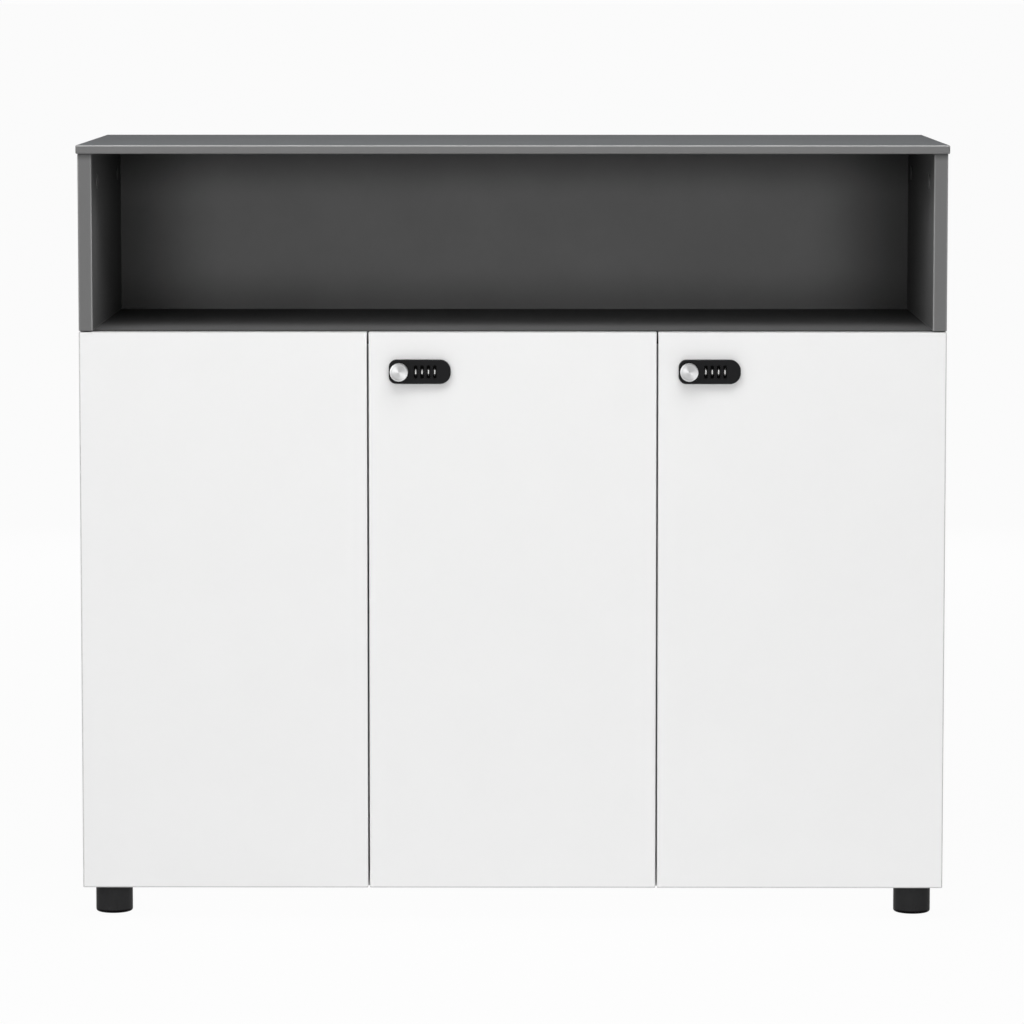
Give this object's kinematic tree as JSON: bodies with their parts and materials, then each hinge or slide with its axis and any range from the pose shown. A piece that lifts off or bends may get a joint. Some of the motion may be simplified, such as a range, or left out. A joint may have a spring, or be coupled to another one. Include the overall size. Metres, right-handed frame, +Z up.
{
  "type": "office storage cabinet",
  "caption": "Low office storage cabinet with an open grey niche above white hinged doors, combination locks and round levelling feet.",
  "frame": {"origin": "centre of the footprint, on the floor", "axes": "+X to the right seen from the front, -Y out of the doors, +Z up"},
  "size_m": [1, 0.416, 0.9],
  "materials": {
    "grey_board": "graphite grey melamine faced board, satin",
    "white_board": "white melamine faced board, satin",
    "door_board": "white melamine faced board with edge band, satin",
    "grey_cap": "moulded cap, matte",
    "zinc": "die cast zinc",
    "steel": "zinc plated steel",
    "nickel_steel": "nickel plated pressed steel",
    "beech": "raw beech",
    "bumper_rubber": "clear soft stop",
    "black_plastic": "moulded, fine texture",
    "lock_black": "satin black moulding",
    "dial_black": "black wheel, white numerals",
    "knob_aluminium": "turned, satin"
  },
  "bodies": {
    "carcass": {"bottom_panel": "white_board", "cam_bolts": "steel", "cam_caps": "grey_cap", "cam_fittings": "zinc", "divider_panel": "white_board", "door_bumpers": "bumper_rubber", "foot_inserts": "steel", "hinge_arms": "nickel_steel", "hinge_plates": "nickel_steel", "hinge_screws": "steel", "lower_back": "white_board", "niche_back": "grey_board", "niche_floor": "grey_board", "niche_screws": "steel", "niche_side_left": "grey_board", "niche_side_right": "grey_board", "shelf_narrow": "white_board", "shelf_pegs": "steel", "shelf_wide": "white_board", "side_panel_left": "white_board", "side_panel_right": "white_board", "strike_plates": "steel", "strike_screws": "steel", "top_panel": "grey_board", "wood_dowels": "beech"},
    "left_door": {"door_left": "door_board", "hinge_cups_left": "nickel_steel", "door_screws_left": "steel", "slide_bolt_base": "steel"},
    "middle_door": {"door_middle": "door_board", "hinge_cups_middle": "nickel_steel", "door_screws_middle": "steel", "lock_case_middle": "lock_black", "lock_ring_nut_middle": "steel", "dial_axle_middle": "steel"},
    "right_door": {"door_right": "door_board", "hinge_cups_right": "nickel_steel", "door_screws_right": "steel", "lock_case_right": "lock_black", "lock_ring_nut_right": "steel", "dial_axle_right": "steel"},
    "middle_knob": {"knob_middle": "knob_aluminium", "latch_middle": "steel"},
    "middle_dial_1": {"lock_dial_middle_1": "dial_black"},
    "middle_dial_2": {"lock_dial_middle_2": "dial_black"},
    "middle_dial_3": {"lock_dial_middle_3": "dial_black"},
    "middle_dial_4": {"lock_dial_middle_4": "dial_black"},
    "right_knob": {"knob_right": "knob_aluminium", "latch_right": "steel"},
    "right_dial_1": {"lock_dial_right_1": "dial_black"},
    "right_dial_2": {"lock_dial_right_2": "dial_black"},
    "right_dial_3": {"lock_dial_right_3": "dial_black"},
    "right_dial_4": {"lock_dial_right_4": "dial_black"},
    "slide_bolt": {"slide_bolt_rod": "steel"},
    "front_left_foot": {"foot_front_left": "black_plastic"},
    "front_right_foot": {"foot_front_right": "black_plastic"},
    "rear_left_foot": {"foot_rear_left": "black_plastic"},
    "rear_right_foot": {"foot_rear_right": "black_plastic"}
  },
  "joints": [
    {"name": "left_door_swing", "type": "hinge", "parent": "carcass", "child": "left_door", "pos_m": [-0.4906, -0.18425, 0.36275], "axis": [0, 0, -1], "range_deg": [0, 95], "stiffness_Nm_per_rad": 0.15, "springref_deg": -45.84},
    {"name": "middle_door_swing", "type": "hinge", "parent": "carcass", "child": "middle_door", "pos_m": [0.15793, -0.18425, 0.36275], "axis": [0, 0, 1], "range_deg": [0, 95], "stiffness_Nm_per_rad": 0.15, "springref_deg": -45.84},
    {"name": "right_door_swing", "type": "hinge", "parent": "carcass", "child": "right_door", "pos_m": [0.4906, -0.18425, 0.36275], "axis": [0, 0, 1], "range_deg": [0, 95], "stiffness_Nm_per_rad": 0.15, "springref_deg": -45.84},
    {"name": "middle_knob_turn", "type": "hinge", "parent": "middle_door", "child": "middle_knob", "pos_m": [-0.13023, -0.198, 0.6405], "axis": [0, 1, 0], "range_deg": [0, 90]},
    {"name": "middle_dial_1_spin", "type": "hinge", "parent": "middle_door", "child": "middle_dial_1", "pos_m": [-0.11103, -0.1886, 0.6405], "axis": [1, 0, 0], "continuous": true},
    {"name": "middle_dial_2_spin", "type": "hinge", "parent": "middle_door", "child": "middle_dial_2", "pos_m": [-0.10373, -0.1886, 0.6405], "axis": [1, 0, 0], "continuous": true},
    {"name": "middle_dial_3_spin", "type": "hinge", "parent": "middle_door", "child": "middle_dial_3", "pos_m": [-0.09643, -0.1886, 0.6405], "axis": [1, 0, 0], "continuous": true},
    {"name": "middle_dial_4_spin", "type": "hinge", "parent": "middle_door", "child": "middle_dial_4", "pos_m": [-0.08913, -0.1886, 0.6405], "axis": [1, 0, 0], "continuous": true},
    {"name": "right_knob_turn", "type": "hinge", "parent": "right_door", "child": "right_knob", "pos_m": [0.20243, -0.198, 0.6405], "axis": [0, 1, 0], "range_deg": [0, 90]},
    {"name": "right_dial_1_spin", "type": "hinge", "parent": "right_door", "child": "right_dial_1", "pos_m": [0.22163, -0.1886, 0.6405], "axis": [1, 0, 0], "continuous": true},
    {"name": "right_dial_2_spin", "type": "hinge", "parent": "right_door", "child": "right_dial_2", "pos_m": [0.22893, -0.1886, 0.6405], "axis": [1, 0, 0], "continuous": true},
    {"name": "right_dial_3_spin", "type": "hinge", "parent": "right_door", "child": "right_dial_3", "pos_m": [0.23623, -0.1886, 0.6405], "axis": [1, 0, 0], "continuous": true},
    {"name": "right_dial_4_spin", "type": "hinge", "parent": "right_door", "child": "right_dial_4", "pos_m": [0.24353, -0.1886, 0.6405], "axis": [1, 0, 0], "continuous": true},
    {"name": "slide_bolt_shoot", "type": "slide", "parent": "left_door", "child": "slide_bolt", "axis": [0, 0, 1], "range_m": [0, 0.012]},
    {"name": "front_left_foot_level", "type": "slide", "parent": "carcass", "child": "front_left_foot", "axis": [0, 0, 1], "range_m": [-0.008, 0]},
    {"name": "front_right_foot_level", "type": "slide", "parent": "carcass", "child": "front_right_foot", "axis": [0, 0, 1], "range_m": [-0.008, 0]},
    {"name": "rear_left_foot_level", "type": "slide", "parent": "carcass", "child": "rear_left_foot", "axis": [0, 0, 1], "range_m": [-0.008, 0]},
    {"name": "rear_right_foot_level", "type": "slide", "parent": "carcass", "child": "rear_right_foot", "axis": [0, 0, 1], "range_m": [-0.008, 0]}
  ]
}
